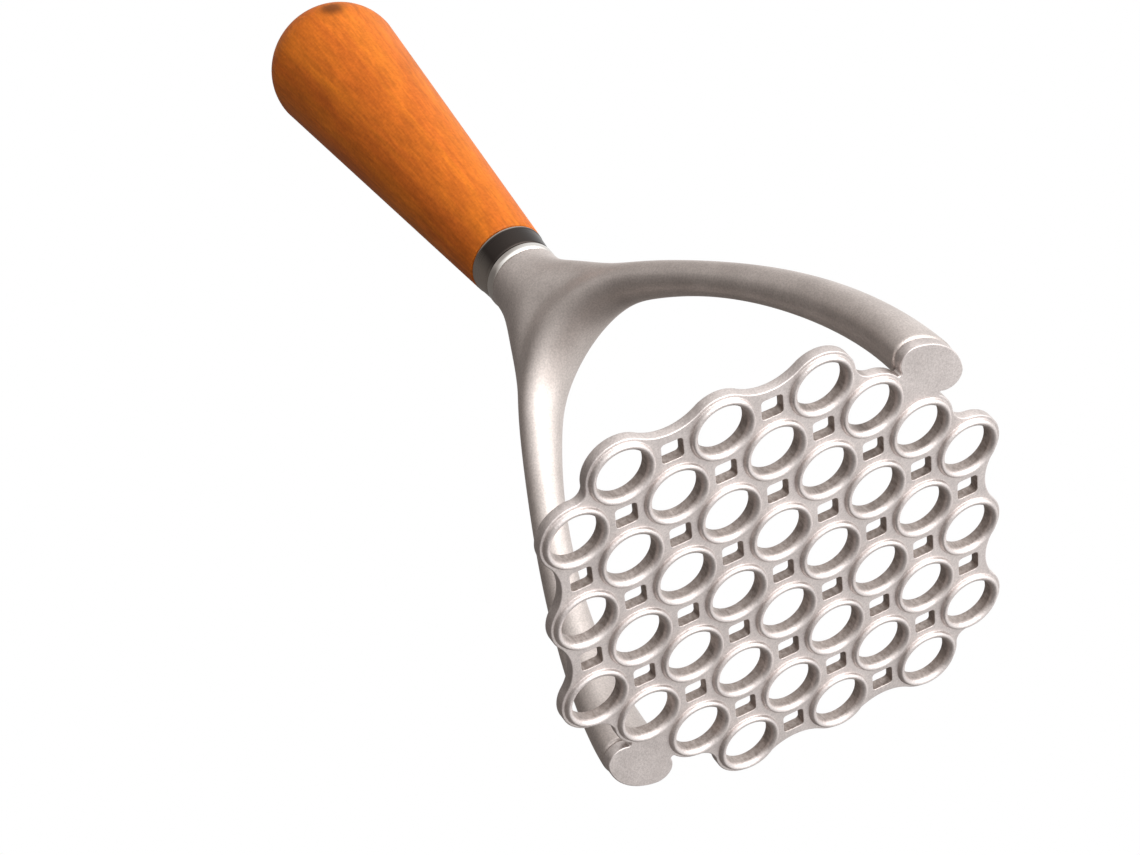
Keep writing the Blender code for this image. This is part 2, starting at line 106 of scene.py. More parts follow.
def add_node(tree, kind, inputs=None, **settings):
    """A node of that kind with its settings. Each input is a value, or the socket or node it is linked to.

    Of a node, the first output that its settings leave in use is linked.
    """
    made = tree.nodes.new(kind)
    for name, value in settings.items():
        setattr(made, name, value)
    for name, value in (inputs or {}).items():
        if isinstance(value, bpy.types.Node):
            value = next(output for output in value.outputs if output.enabled)
        if isinstance(value, bpy.types.NodeSocket):
            tree.links.new(value, made.inputs[name])
        else:
            made.inputs[name].default_value = value
    return made


def new_finish(name):
    """An empty material, and what each finish starts from: its tree and the Object coordinates."""
    finish = bpy.data.materials.new(name)
    finish.use_nodes = True
    finish.node_tree.nodes.clear()
    place = add_node(finish.node_tree, "ShaderNodeTexCoord").outputs["Object"]
    return finish, finish.node_tree, place


class Surface:
    """Points and faces that grow as bands of quads are added to them."""

    def __init__(self):
        self.points, self.faces, self.count = [], [], 0

    def add_points(self, grid):
        """Adds an array of points of any shape, and gives their numbers in the same shape."""
        grid = np.asarray(grid, float)
        numbers = self.count + np.arange(grid.size // 3).reshape(grid.shape[:-1])
        self.points.append(grid.reshape(-1, 3))
        self.count += grid.size // 3
        return numbers

    def add_band(self, numbers):
        """Quads between each row of numbers and the next. Each row runs round a closed loop."""
        after = np.roll(numbers, -1, axis=-1)
        corners = [numbers[..., :-1, :], after[..., :-1, :], after[..., 1:, :], numbers[..., 1:, :]]
        self.faces += np.stack(corners, axis=-1).reshape(-1, 4).tolist()

    def add_grid(self, grid):
        """Adds rows of points with quads between them, and gives the points' numbers."""
        numbers = self.add_points(grid)
        self.add_band(numbers)
        return numbers

    def add_fan(self, loop, tip):
        """Triangles from each side of a closed loop to one point on the axis."""
        number = self.add_points([tip])[0]
        after = np.roll(loop, -1)
        self.faces += np.stack([loop, after, np.full(len(loop), number)], axis=-1).tolist()

    def add_flat(self, loops):
        """Flat triangles inside the first loop of numbers and outside all the others."""
        flat = np.concatenate(self.points)[:, :2]
        order = np.concatenate(loops)
        starts = np.cumsum([0] + [len(loop) for loop in loops])
        rims = [list(range(starts[k], starts[k + 1])) for k in range(len(loops))]
        _, _, faces, came_from, _, inside = delaunay_2d_cdt(flat[order].tolist(), [], rims, 0, 1e-9)
        number = [order[source[0]] for source in came_from]
        self.faces += [[int(number[c]) for c in face] for face, holds in zip(faces, inside) if holds == [0]]


def add_piece(name, surface, finish, wall_shade=None):
    """A surface as a named piece: doubles merged, faces turned outwards, and smooth but for sharp edges.

    A share from 0 to 1 of painted shade at each point can be given as the last argument, which the material
    reads as the attribute of the same name.
    """
    mesh = bpy.data.meshes.new(name)
    mesh.from_pydata(np.concatenate(surface.points), [], surface.faces)
    if wall_shade is not None:
        mesh.attributes.new("wall_shade", "FLOAT", "POINT").data.foreach_set("value", wall_shade)
    shape = bmesh.new()
    shape.from_mesh(mesh)
    bmesh.ops.remove_doubles(shape, verts=shape.verts, dist=1e-7)
    bmesh.ops.recalc_face_normals(shape, faces=shape.faces)
    shape.to_mesh(mesh)
    shape.free()
    mesh.materials.append(finish)
    mesh.shade_smooth()
    mesh.set_sharp_from_angle(angle=SHARP_ANGLE)
    made = bpy.data.objects.new(name, mesh)
    bpy.context.scene.collection.objects.link(made)
    return made


def ring_centres():
    """Every ring's (x, y): columns at half-pitch steps from X = 0, each centred on Y = 0."""
    found = []
    for column, rings in enumerate(COLUMN_RINGS):
        y = (np.arange(rings) - (rings - 1) / 2) * PITCH
        for side in (-1, 1):
            found.append(np.stack([np.full(rings, side * (column + 0.5) * PITCH), y], axis=1))
    return np.concatenate(found)


def square_centres(rings):
    """The lattice's whole-pitch points that have a ring at three or four of their corners.

    A ring at a corner is half a pitch away along X and along Y, so 0.707 of the pitch.
    """
    i, j = np.meshgrid(np.arange(-4, 5), np.arange(-4, 5), indexing="ij")
    points = np.stack([i.ravel(), j.ravel()], axis=1) * PITCH
    gaps = np.linalg.norm(points[:, None] - rings[None], axis=2)
    return points[(gaps < 0.72 * PITCH).sum(axis=1) >= 3]


def quarter_round(size, steps):
    """(inset, depth) from a flat face over a rounded edge onto the wall: a quarter circle of that size."""
    turn = np.linspace(0, math.pi / 2, steps)
    return np.stack([size * (1 - np.sin(turn)), size * (1 - np.cos(turn))], axis=1)


def bead_profile():
    """(radius, height) of half a ring's section: the web's front, a fillet, the bead, the bore and its mouth.

    The bead is a quarter ellipse on each side of its crest: radius = crest + width x cos(t), height = rise x
    (1 - sin(t)). The outer flank is steep, and the longer inner one ends at the bore with a crisp edge.
    """
    turn = np.linspace(0.3, 2.839, 19)
    outer = turn < math.pi / 2
    width = np.where(outer, OUTER_WIDTH, INNER_WIDTH)
    rise = np.where(outer, OUTER_RISE, INNER_RISE)
    arch = np.stack([CREST + width * np.cos(turn), rise * (1 - np.sin(turn))], axis=1)
    fillet = np.array([(0, 0), (0.00003, 0), (0.00009, 0.00003), (0.00014, 0.00010)])
    root = np.array([ROOT, WEB_FRONT]) - fillet
    mouth = np.array([BORE, WEB_BACK]) + quarter_round(BACK_ROUND, 5)[::-1] * (1, -1)
    end = (BORE + BACK_ROUND + SEAM, WEB_BACK)
    return np.concatenate([root, arch, [(BORE, BORE_START), (BORE, BORE_MIDDLE)], mouth, [end]])


def circles(centres, radii, heights, sides):
    """A grid of circles: one per centre and (radius, height), in the shape centres, heights, sides, 3."""
    turn = np.linspace(0, 2 * math.pi, sides, endpoint=False)
    radii = np.asarray(radii)[None, :, None]
    centres = np.asarray(centres)
    x = centres[:, 0, None, None] + radii * np.cos(turn)
    y = centres[:, 1, None, None] + radii * np.sin(turn)
    z = np.broadcast_to(np.asarray(heights)[None, :, None], x.shape)
    return np.stack([x, y, z], axis=-1)


def square_rims(centres, growths, heights):
    """Squares turned by 45 degrees with rounded corners, each grown outwards by the growth of its height."""
    quarter = np.repeat(np.arange(4) * math.pi / 2, 7)
    turn = quarter + np.tile(np.linspace(-math.pi / 4, math.pi / 4, 7), 4)
    reach = math.sqrt(2) * (SQUARE_HALF - SQUARE_CORNER)
    size = SQUARE_CORNER + np.asarray(growths)[None, :, None]
    x = centres[:, 0, None, None] + reach * np.cos(quarter) + size * np.cos(turn)
    y = centres[:, 1, None, None] + reach * np.sin(quarter) + size * np.sin(turn)
    z = np.broadcast_to(np.asarray(heights)[None, :, None], x.shape)
    return np.stack([x, y, z], axis=-1)


def edge_chain():
    """The plate's edge as circles (x, y, radius), anticlockwise, each with the fillet to the next one.

    A fillet of None joins circles that touch from inside, as at the lug's long outer side.
    """
    side = (LUG_THICK**2 + (LUG_WIDE - LUG_END) ** 2 - LUG_END**2) / (2 * (LUG_THICK - LUG_END))
    quarter, inner = [], 0
    for column in (2, 1, 0):
        rows = COLUMN_RINGS[column] // 2
        for row in range(inner, rows):
            fillet = SIDE_FILLET if row < rows - 1 else (STEP_FILLET if column else END_FILLET)
            quarter.append((((column + 0.5) * PITCH, (row + 0.5) * PITCH, RIM), fillet))
        inner = rows
    fillets = [fillet for _, fillet in quarter]
    half = [((LUG_X + LUG_THICK - side, 0.0, side), None)]
    half += [((LUG_X, LUG_WIDE - LUG_END, LUG_END), LUG_FILLET)]
    half += quarter
    half += [((-x, y, r), f) for ((x, y, r), _), f in zip(quarter[::-1], fillets[-2::-1] + [LUG_FILLET])]
    half += [((-LUG_X, LUG_WIDE - LUG_END, LUG_END), None)]
    return half + [((-x, -y, r), fillet) for (x, y, r), fillet in half]


def arc(centre, start, end, sense):
    """Points and outward directions along an arc from start up to but without end."""
    first, last = start - centre, end - centre
    angle = math.atan2(first[0] * last[1] - first[1] * last[0], first @ last)
    if angle * sense < 0:
        angle += sense * 2 * math.pi
    steps = max(3, math.ceil(abs(angle) / ARC_STEP))
    turn = math.atan2(first[1], first[0]) + angle * np.arange(steps) / steps
    away = np.stack([np.cos(turn), np.sin(turn)], axis=1)
    return centre + math.hypot(*first) * away, sense * away


def edge_outline():
    """The plate's outline as one closed run of arcs, with its outward directions.

    Two circles of radius a and b with a fillet f between them: the fillet's centre is a + f from the first
    and b + f from the second, and the arcs meet on the lines between the centres.
    """
    chain = edge_chain()
    links = []
    for (first, fillet), (second, _) in zip(chain, chain[1:] + chain[:1]):
        a, b = np.array(first[:2]), np.array(second[:2])
        if fillet is None:
            small, other = (a, b) if first[2] < second[2] else (b, a)
            touch = small + (small - other) / np.linalg.norm(small - other) * min(first[2], second[2])
            links.append((touch, touch, None))
            continue
        gap = np.linalg.norm(b - a)
        along = ((first[2] + fillet) ** 2 - (second[2] + fillet) ** 2 + gap**2) / (2 * gap)
        aside = math.sqrt(max((first[2] + fillet) ** 2 - along**2, 0.0))
        unit = (b - a) / gap
        centre = a + unit * along + np.array([unit[1], -unit[0]]) * aside
        leave = a + (centre - a) * first[2] / (first[2] + fillet)
        links.append((leave, b + (centre - b) * second[2] / (second[2] + fillet), centre))
    runs = []
    for k, (ring, _) in enumerate(chain):
        runs.append(arc(np.array(ring[:2]), links[k - 1][1], links[k][0], 1))
        if links[k][2] is not None:
            runs.append(arc(links[k][2], links[k][0], links[k][1], -1))
    return np.concatenate([run[0] for run in runs]), np.concatenate([run[1] for run in runs])


def edge_grid(outline, away, rings):
    """The plate's edge: the outline carried over a rounded front corner, down the wall and over the back.

    The rounding is as wide as the room beside the nearest ring's root lets it be, less 0.05 mm.
    """
    room = np.linalg.norm(outline[:, None] - rings[None], axis=2).min(axis=1) - ROOT - 0.00005
    front = np.clip(room, FRONT_ROUND_LEAST, FRONT_ROUND_MOST)
    over = quarter_round(1.0, 6)[:, :, None] * front
    back = quarter_round(BACK_ROUND, 5)[::-1, :, None] * np.ones_like(front)
    inset = np.concatenate([[front + SEAM], over[:, 0], back[:, 0], [back[-1, 0] + SEAM]])
    height = np.concatenate([[over[0, 1]], over[:, 1]]) + WEB_FRONT
    height = np.concatenate([height, WEB_BACK - back[:, 1], [WEB_BACK - back[-1, 1]]])
    flat = outline[None] - away[None] * (inset[..., None] + EDGE_INSET)
    return np.concatenate([flat, height[..., None]], axis=-1)


def plate_surface():
    """Rings, squares, edge and dowel holes as grids, with flat triangles between them on both faces.

    With it come the points' shares of painted shade, which go by the rows of each grid.
    """
    rings = ring_centres()
    profile = bead_profile()
    plate = Surface()
    ring_rows = plate.add_grid(circles(rings, profile[:, 0], profile[:, 1], 64))
    edge_rows = plate.add_grid(edge_grid(*edge_outline(), rings))
    lip = quarter_round(SQUARE_LIP, 4)
    strip = [SQUARE_LIP + SEAM]
    growths = np.concatenate([strip, lip[:, 0], lip[::-1, 0], strip])
    heights = np.concatenate([[WEB_FRONT], WEB_FRONT + lip[:, 1], WEB_BACK - lip[::-1, 1], [WEB_BACK]])
    square_rows = plate.add_grid(square_rims(square_centres(rings), growths, heights))
    dowels = np.array([(LUG_X, 0), (-LUG_X, 0)])
    dowel_rows = plate.add_grid(circles(dowels, [DOWEL_HOLE] * 2, [DOWEL_FLOOR, WEB_BACK], 32))
    for rows, (x, y) in zip(dowel_rows, dowels):
        plate.add_fan(rows[0], (x, y, DOWEL_FLOOR))
    plate.add_flat([edge_rows[0], *ring_rows[:, 0], *square_rows[:, 0]])
    plate.add_flat([edge_rows[-1], *ring_rows[:, -1], *square_rows[:, -1], *dowel_rows[:, -1]])
    groove, inner_flank, bore = slice(2, 7), slice(-14, -8), slice(-8, -1)
    # Painted shade: the bores and square holes are darkened most, the lower inner flanks more towards the
    # bore, and the edge's side and the grooves round the beads a little.
    wall_shade = np.zeros(plate.count)
    wall_shade[ring_rows[:, groove]] = 0.2
    wall_shade[ring_rows[:, inner_flank]] = np.linspace(0.1, 0.7, 6)[:, None]
    wall_shade[ring_rows[:, bore]] = 0.9
    wall_shade[square_rows[:, 3:-2]] = 1
    wall_shade[edge_rows[5:-2]] = 0.3
    return plate, wall_shade


# Sandblasted cast aluminium: a pale warm grey metal. The grit leaves a fine tooth that blurs every
# reflection, and the sand mould leaves slow waves and a few small pits. The bores, the square holes, the
# grooves round the beads, the lower inner flanks and the edge's side show the scored as-cast skin that the
# blast hardly reaches, and their colour is darkened and browned there by painted shade.
plate_finish, tree, place = new_finish("sandblasted_cast_aluminium")
grit = add_node(tree, "ShaderNodeTexNoise", {"Vector": place, "Scale": 2600.0, "Detail": 2.0})
waves = add_node(tree, "ShaderNodeTexNoise", {"Vector": place, "Scale": 320.0, "Detail": 3.0})
cloud = add_node(tree, "ShaderNodeTexNoise", {"Vector": place, "Scale": 90.0, "Detail": 4.0})
pit_cells = add_node(tree, "ShaderNodeTexVoronoi", {"Vector": place, "Scale": 420.0})
pits = add_node(tree, "ShaderNodeMapRange", {"Value": pit_cells, "From Min": 0.05, "From Max": 0.16})
tone = add_node(tree, "ShaderNodeValToRGB", {"Fac": cloud})
low, high = tone.color_ramp.elements
low.position, low.color = NOISE_LOW, linear("D3CBC8")
high.position, high.color = NOISE_HIGH, linear("E6DEDB")
speck = add_node(tree, "ShaderNodeMapRange", {"Value": grit, **NOISE_SPAN, "To Min": 0.86, "To Max": 1.08})
colour = add_node(tree, "ShaderNodeVectorMath", {0: tone, 1: speck}, operation="MULTIPLY")
rough = add_node(tree, "ShaderNodeMapRange", {"Value": waves, **NOISE_SPAN, "To Min": 0.42, "To Max": 0.54})
bump = add_node(tree, "ShaderNodeBump", {"Height": waves, "Strength": 0.5, "Distance": 0.0002})
for height, strength, distance in ((grit, 0.35, 0.0001), (pits, 0.3, 0.00005)):
    finer = {"Height": height, "Normal": bump, "Strength": strength, "Distance": distance}
    bump = add_node(tree, "ShaderNodeBump", finer)
# Painted shade: these shares darken and brown the colour through the scored noise, whose scores are the
# as-cast skin.
wall_shade = add_node(tree, "ShaderNodeAttribute", attribute_name="wall_shade").outputs["Fac"]
stretch = add_node(tree, "ShaderNodeMapping", {"Vector": place, "Scale": (1.0, 1.0, 0.7)})
scores = add_node(tree, "ShaderNodeTexNoise", {"Vector": stretch, "Scale": 1300.0, "Detail": 4.0})
scores_and_shade = add_node(tree, "ShaderNodeValToRGB", {"Fac": scores})
low, high = scores_and_shade.color_ramp.elements
low.position, low.color = 0.35, (0.42, 0.375, 0.345, 1.0)
high.position, high.color = 0.68, (0.68, 0.64, 0.61, 1.0)
scores_and_shade = add_node(tree, "ShaderNodeMix", {"Factor": wall_shade, "A": WHITE, "B": scores_and_shade}, data_type="RGBA")
colour = add_node(tree, "ShaderNodeVectorMath", {0: colour, 1: scores_and_shade}, operation="MULTIPLY")
looks = {"Base Color": colour, "Metallic": 1.0, "Roughness": rough, "Normal": bump}
shader = add_node(tree, "ShaderNodeBsdfPrincipled", looks)
add_node(tree, "ShaderNodeOutputMaterial", {"Surface": shader})

plate_mesh, wall_shade_shares = plate_surface()
plate = add_piece("plate_casting", plate_mesh, plate_finish, wall_shade=wall_shade_shares)
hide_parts("mashing_plate")
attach(plate, "root")

# ---------------------------------------------------------------------------
# The yoke is one aluminium casting: a round hub that opens into two oval arms, whose feet stand on
# the plate's lugs. Glass beads were blasted over it, which leaves a soft, even, darker grey skin.

YOKE_BOTTOM, HUB_TOP, FOOT_FACE = 0.0038, 0.1162, 0.0036
FOOT_RIM, HUB_RIM = 0.0008, 0.0003
ARCH_HEIGHT, ARCH_DROP, FOOT_HEIGHT = 0.101, 0.88, 0.040
FOOT_THICK, FOOT_WIDE = LUG_THICK + 0.0003, LUG_WIDE + 0.0003
WAIST_SHARE, WAIST_THICK, WAIST_WIDE = 0.62, 0.0037, 0.0042
HUB_RADIUS, HUB_FLARE, HUB_DEPTH = 0.0086, 0.0135, 0.0125
CROWN_HEIGHT, CROWN_DEPTH, CROWN_WIDE, CROWN_SWELL = 0.087, 0.014, 0.0084, 0.00111
BELOW = 0.01  # how far the cage goes on under the feet, which are then cut flat
GROWTH = 3 / (2 + math.cos(math.pi / 4))  # the cage's points stand out from the smoothed surface by this
STUD_HOLE, STUD_FLOOR, DOWEL_TOP = 0.0033, 0.1009, 0.0101


def arch_x(height):
    """X of the arm's middle line at a height above its foot. It leans in slowly at first, then quickly.

    X = lug x (1 - drop x share to the power 1.8 - (1 - drop) x share to the power 8).
    """
    share = height / ARCH_HEIGHT
    return LUG_X * (1 - ARCH_DROP * share**1.8 - (1 - ARCH_DROP) * share**8)


def arm_sections(shares):
    """Eight points round the right arm at each share of its height, square to the arch there.

    A section is an oval, wide and thick at the foot, slim at the waist and wider again at the crown.
    """
    height = shares * ARCH_HEIGHT
    step = ARCH_HEIGHT * 0.001
    lean = arch_x(np.abs(height + step)) - arch_x(np.abs(height - step))
    slope = np.where(height > step, lean / (2 * step), 0)
    outward = np.stack([np.ones_like(slope), np.zeros_like(slope), -slope], axis=1)
    outward /= np.linalg.norm(outward, axis=1, keepdims=True)
    foot = np.clip(1 - height / FOOT_HEIGHT, 0, None)
    rise = np.clip(shares / WAIST_SHARE, None, 1)
    flare = np.clip(shares - WAIST_SHARE, 0, None) / (1 - WAIST_SHARE)
    thick = FOOT_THICK + (WAIST_THICK - FOOT_THICK) * rise + CROWN_SWELL * flare
    wide = WAIST_WIDE + (FOOT_WIDE - WAIST_WIDE) * foot**1.5 + (CROWN_WIDE - WAIST_WIDE) * flare**1.5
    centre = np.stack([arch_x(height), np.zeros_like(height), YOKE_BOTTOM + height], axis=1)
    turn = np.linspace(0, 2 * math.pi, 8, endpoint=False)
    across = outward[:, None] * (np.cos(turn) * thick[:, None] * GROWTH)[..., None]
    along = np.array([0, 1, 0]) * (np.sin(turn) * wide[:, None] * GROWTH)[..., None]
    return centre[:, None] + across + along


def hub_sections():
    """Eight points round the hub at four heights, wide along X where the arms run in and round at the top."""
    drop = np.array([1.0, 0.5, 0.0, -1.0]) * HUB_DEPTH
    widening = 1 + np.array([1.0, 0.16, 0.0, 0.0]) * (HUB_FLARE / HUB_RADIUS - 1)
    turn = np.linspace(0, 2 * math.pi, 8, endpoint=False)
    x = HUB_RADIUS * GROWTH * np.cos(turn) * widening[:, None]
    y = np.broadcast_to(HUB_RADIUS * GROWTH * np.sin(turn), x.shape)
    z = np.broadcast_to(HUB_TOP - drop[:, None], x.shape)
    return np.stack([x, y, z], axis=-1)


def yoke_cage():
    """The coarse cage of the whole yoke: both arms, the crown between them and the hub above it."""
    right = arm_sections(np.array([0, 0, 0.09, 0.19, 0.30, 0.42, 0.54, 0.66, 0.77, 0.86]))
    right[0, :, 2] -= BELOW
    cage = Surface()
    right_rows = cage.add_grid(right)
    left_rows = cage.add_grid(right * (-1, 1, 1))
    turn = np.arange(1, 8) * math.pi / 4
    height = YOKE_BOTTOM + CROWN_HEIGHT + CROWN_DEPTH / 2 * (1 + np.cos(turn) * GROWTH)
    middle = cage.add_points(np.stack([0 * turn, np.sin(turn) * CROWN_WIDE * GROWTH, height], axis=1))
    for arm in (right_rows[-1], left_rows[-1]):
        cage.faces += np.stack([arm[1:7], arm[2:8], middle[1:], middle[:-1]], axis=1).tolist()
    r, l, m = right_rows[-1], left_rows[-1], middle
    mouth = np.array([r[0], r[1], m[0], l[1], l[0], l[7], m[6], r[7]])
    hub_rows = cage.add_grid(hub_sections())
    cage.add_band(np.stack([mouth, hub_rows[0]]))
    cage.faces += [right_rows[0].tolist(), left_rows[0].tolist(), hub_rows[-1].tolist()]
    return cage


def smoothed_yoke():
    """The smoothed cage, cut flat at the feet and at the hub, each a rim's height inside its face."""
    holder = add_piece("cage", yoke_cage(), yoke_finish)
    smooth = holder.modifiers.new("Smooth", "SUBSURF")
    smooth.levels = smooth.render_levels = 4
    shape = bmesh.new()
    shape.from_object(holder, bpy.context.evaluated_depsgraph_get())
    bpy.data.objects.remove(holder)
    for height, side in ((FOOT_FACE + FOOT_RIM, -1), (HUB_TOP - HUB_RIM, 1)):
        parts = shape.verts[:] + shape.edges[:] + shape.faces[:]
        plane = {"plane_co": (0, 0, height), "plane_no": (0, 0, side)}
        bmesh.ops.bisect_plane(shape, geom=parts, dist=1e-7, clear_outer=True, **plane)
    cut = bpy.data.meshes.new("cut")
    shape.to_mesh(cut)
    shape.free()
    points = np.empty(len(cut.vertices) * 3)
    cut.vertices.foreach_get("co", points)
    yoke = Surface()
    yoke.add_points(points.reshape(-1, 3))
    yoke.faces += [list(face.vertices) for face in cut.polygons]
    bpy.data.meshes.remove(cut)
    return yoke


def cut_loop(points, height, centre):
    """The numbers of the points at a height and within 20 mm of a centre, in order round it."""
    away = points[:, :2] - centre
    near = (np.abs(points[:, 2] - height) < 1e-6) & (np.hypot(*away.T) < 0.020)
    found = np.flatnonzero(near)
    return found[np.argsort(np.arctan2(away[found, 1], away[found, 0]))]


def inward(loop):
    """Directions square to a closed flat loop that runs anticlockwise, pointing inwards."""
    along = np.roll(loop, -1, axis=0) - np.roll(loop, 1, axis=0)
    side = np.stack([-along[:, 1], along[:, 0], np.zeros(len(loop))], axis=1)
    return side / np.linalg.norm(side, axis=1, keepdims=True)


def yoke_surface():
    """The smoothed yoke with a rounded rim, a flat face and a pin hole at both feet and at the hub."""
    yoke = smoothed_yoke()
    foot = (FOOT_FACE, FOOT_RIM, -1, DOWEL_HOLE, DOWEL_TOP)
    hub = (HUB_TOP, HUB_RIM, 1, STUD_HOLE, STUD_FLOOR)
    for centre, (face, rim, side, hole, end) in (((LUG_X, 0), foot), ((-LUG_X, 0), foot), ((0, 0), hub)):
        found = cut_loop(yoke.points[0], face - side * rim, centre)
        loop = yoke.points[0][found]
        into = inward(loop)
        turn = np.linspace(0, math.pi / 2, 5)[1:, None, None]
        over = loop + into * rim * (1 - np.cos(turn)) + np.array([0, 0, side * rim]) * np.sin(turn)
        rows = yoke.add_grid(np.concatenate([over, over[-1:] + into * SEAM]))
        yoke.add_band(np.stack([found, rows[0]]))
        pin = yoke.add_grid(circles([centre], [hole] * 2, [face, end], 32))[0]
        yoke.add_fan(pin[1], (*centre, end))
        yoke.add_flat([rows[-1], pin[0]])
    return yoke


# Bead-blasted cast aluminium: darker and more even than the plate. The beads leave tiny round dimples,
# so highlights are wide and soft, and the flow of the melt leaves faint clouds.
yoke_finish, tree, place = new_finish("bead_blasted_cast_aluminium")
dimples = add_node(tree, "ShaderNodeTexNoise", {"Vector": place, "Scale": 2400.0, "Detail": 1.0})
clouds = add_node(tree, "ShaderNodeTexNoise", {"Vector": place, "Scale": 110.0, "Detail": 4.0})
tone = add_node(tree, "ShaderNodeValToRGB", {"Fac": clouds})
low, high = tone.color_ramp.elements
low.position, low.color = NOISE_LOW, linear("C0B7B2")
high.position, high.color = NOISE_HIGH, linear("D0C7C2")
speck = add_node(tree, "ShaderNodeMapRange", {"Value": dimples, **NOISE_SPAN, "To Min": 0.88, "To Max": 1.1})
colour = add_node(tree, "ShaderNodeVectorMath", {0: tone, 1: speck}, operation="MULTIPLY")
bump = add_node(tree, "ShaderNodeBump", {"Height": dimples, "Strength": 0.3, "Distance": 0.0001})
looks = {"Base Color": colour, "Metallic": 1.0, "Roughness": 0.5, "Normal": bump}
shader = add_node(tree, "ShaderNodeBsdfPrincipled", looks)
add_node(tree, "ShaderNodeOutputMaterial", {"Surface": shader})

yoke = add_piece("yoke_casting", yoke_surface(), yoke_finish)
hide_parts("yoke")
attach(yoke, "root")

# ---------------------------------------------------------------------------
# The spacer ring is turned from steel bar, polished and plated. It seats the ferrule on the rougher
# hub, and the stud clamps it between them.

SPACER_BOTTOM, SPACER_TOP, SPACER_RADIUS = 0.1163, 0.1186, 0.0089
SPACER_LOW_ROUND, SPACER_HIGH_ROUND = 0.0009, 0.0004


def rounded_corner(radius, height, size, start, steps=6):
    """(radius, height) over a rounded corner that reaches out to the radius and on to the height.

    It turns anticlockwise from the start, in quarter turns: from -1 for the corner of a lower face at that
    height, and from 0, or a little before, for the corner of an upper face.
    """
    turn = (start + np.linspace(0, 1, steps)) * math.pi / 2
    middle = height + size if start == -1 else height - size
    return np.stack([radius - size + size * np.cos(turn), middle + size * np.sin(turn)], axis=1)


def turned_surface(profile, sides=128, closed=True):
    """A lathe-turned surface: the profile of (radius, height) carried round Z.

    A closed profile joins its last point to its first, and an open one ends on the axis at both ends.
    """
    profile = np.asarray(profile)
    made = Surface()
    if closed:
        profile = np.concatenate([profile, profile[:1]])
        made.add_grid(circles([(0, 0)], profile[:, 0], profile[:, 1], sides))
        return made
    rows = made.add_grid(circles([(0, 0)], profile[1:-1, 0], profile[1:-1, 1], sides))[0]
    made.add_fan(rows[0], (0, 0, profile[0, 1]))
    made.add_fan(rows[-1], (0, 0, profile[-1, 1]))
    return made


def spacer_profile():
    """A flat washer's section with both outer corners rounded, the lower one more."""
    low = rounded_corner(SPACER_RADIUS, SPACER_BOTTOM, SPACER_LOW_ROUND, -1, 10)
    high = rounded_corner(SPACER_RADIUS, SPACER_TOP, SPACER_HIGH_ROUND, 0)
    return np.concatenate([[(STUD_HOLE, SPACER_BOTTOM)], low, high, [(STUD_HOLE, SPACER_TOP)]])


def lathe_lines(tree, place, round_z, along_z):
    """The fine lines that turning or polishing leaves round Z: a noise that is much finer along Z."""
    stretch = add_node(tree, "ShaderNodeMapping", {"Vector": place, "Scale": (round_z, round_z, along_z)})
    return add_node(tree, "ShaderNodeTexNoise", {"Vector": stretch, "Scale": 1.0, "Detail": 2.0})


# Polished nickel-plated steel: a bright, slightly warm mirror with the hair lines of the polishing belt.
ring_finish, tree, place = new_finish("polished_nickel_plate")
lines = lathe_lines(tree, place, 60.0, 9000.0)
rough = add_node(tree, "ShaderNodeMapRange", {"Value": lines, **NOISE_SPAN, "To Min": 0.1, "To Max": 0.22})
bump = add_node(tree, "ShaderNodeBump", {"Height": lines, "Strength": 0.15, "Distance": 0.00005})
looks = {"Base Color": linear("DEDAD5"), "Metallic": 1.0, "Roughness": rough, "Normal": bump}
shader = add_node(tree, "ShaderNodeBsdfPrincipled", looks)
add_node(tree, "ShaderNodeOutputMaterial", {"Surface": shader})

spacer = add_piece("spacer_polished", turned_surface(spacer_profile()), ring_finish)
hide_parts("spacer_ring")
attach(spacer, "root")

# ---------------------------------------------------------------------------
# The ferrule is a short cup of brass or steel, blackened to gunmetal, that keeps the wood's neck from
# splitting. Its rolled lip is a lighter grey, and the tenon of the handle is pressed into it.

FERRULE_BOTTOM, FERRULE_TOP = 0.1189, 0.1251
FERRULE_LOW, FERRULE_HIGH, FERRULE_INSIDE, FERRULE_FLOOR = 0.0088, 0.0094, 0.0072, 0.1201
FERRULE_ROUND, FERRULE_LIP = 0.0005, 0.00035
PAINTED_REFLECTION_SIDE = (-0.76, -0.65, 0.0)


def ferrule_profile():
    """A tapered cup with a hole in its floor: rounded foot, straight side, small rolled lip at the wood."""
    low = rounded_corner(FERRULE_LOW, FERRULE_BOTTOM, FERRULE_ROUND, -1)
    side = [(FERRULE_HIGH - 0.00018, FERRULE_TOP - 0.0010), (FERRULE_HIGH - 0.00016, FERRULE_TOP - 0.0008)]
    swell = rounded_corner(FERRULE_HIGH, FERRULE_TOP, FERRULE_LIP, -0.6, 4)[:-1]
    lip = rounded_corner(FERRULE_HIGH, FERRULE_TOP, FERRULE_LIP, 0)
    inside = [(FERRULE_INSIDE, FERRULE_TOP), (FERRULE_INSIDE, FERRULE_FLOOR), (STUD_HOLE, FERRULE_FLOOR)]
    return np.concatenate([[(STUD_HOLE, FERRULE_BOTTOM)], low, side, swell, lip, inside])


# Gunmetal finish on turned steel: nearly black and satin, with the lathe's fine rings. It is a lighter grey
# over the top of the lip, and a painted reflection turns it grey on the left side.
ferrule_finish, tree, place = new_finish("blackened_turned_steel")
lines = lathe_lines(tree, place, 40.0, 5000.0)
height = add_node(tree, "ShaderNodeSeparateXYZ", {"Vector": place}).outputs["Z"]
lip_edge = {"Value": height, "From Min": FERRULE_TOP - 0.0006, "From Max": FERRULE_TOP - 0.0003}
lip_band = add_node(tree, "ShaderNodeMapRange", lip_edge)
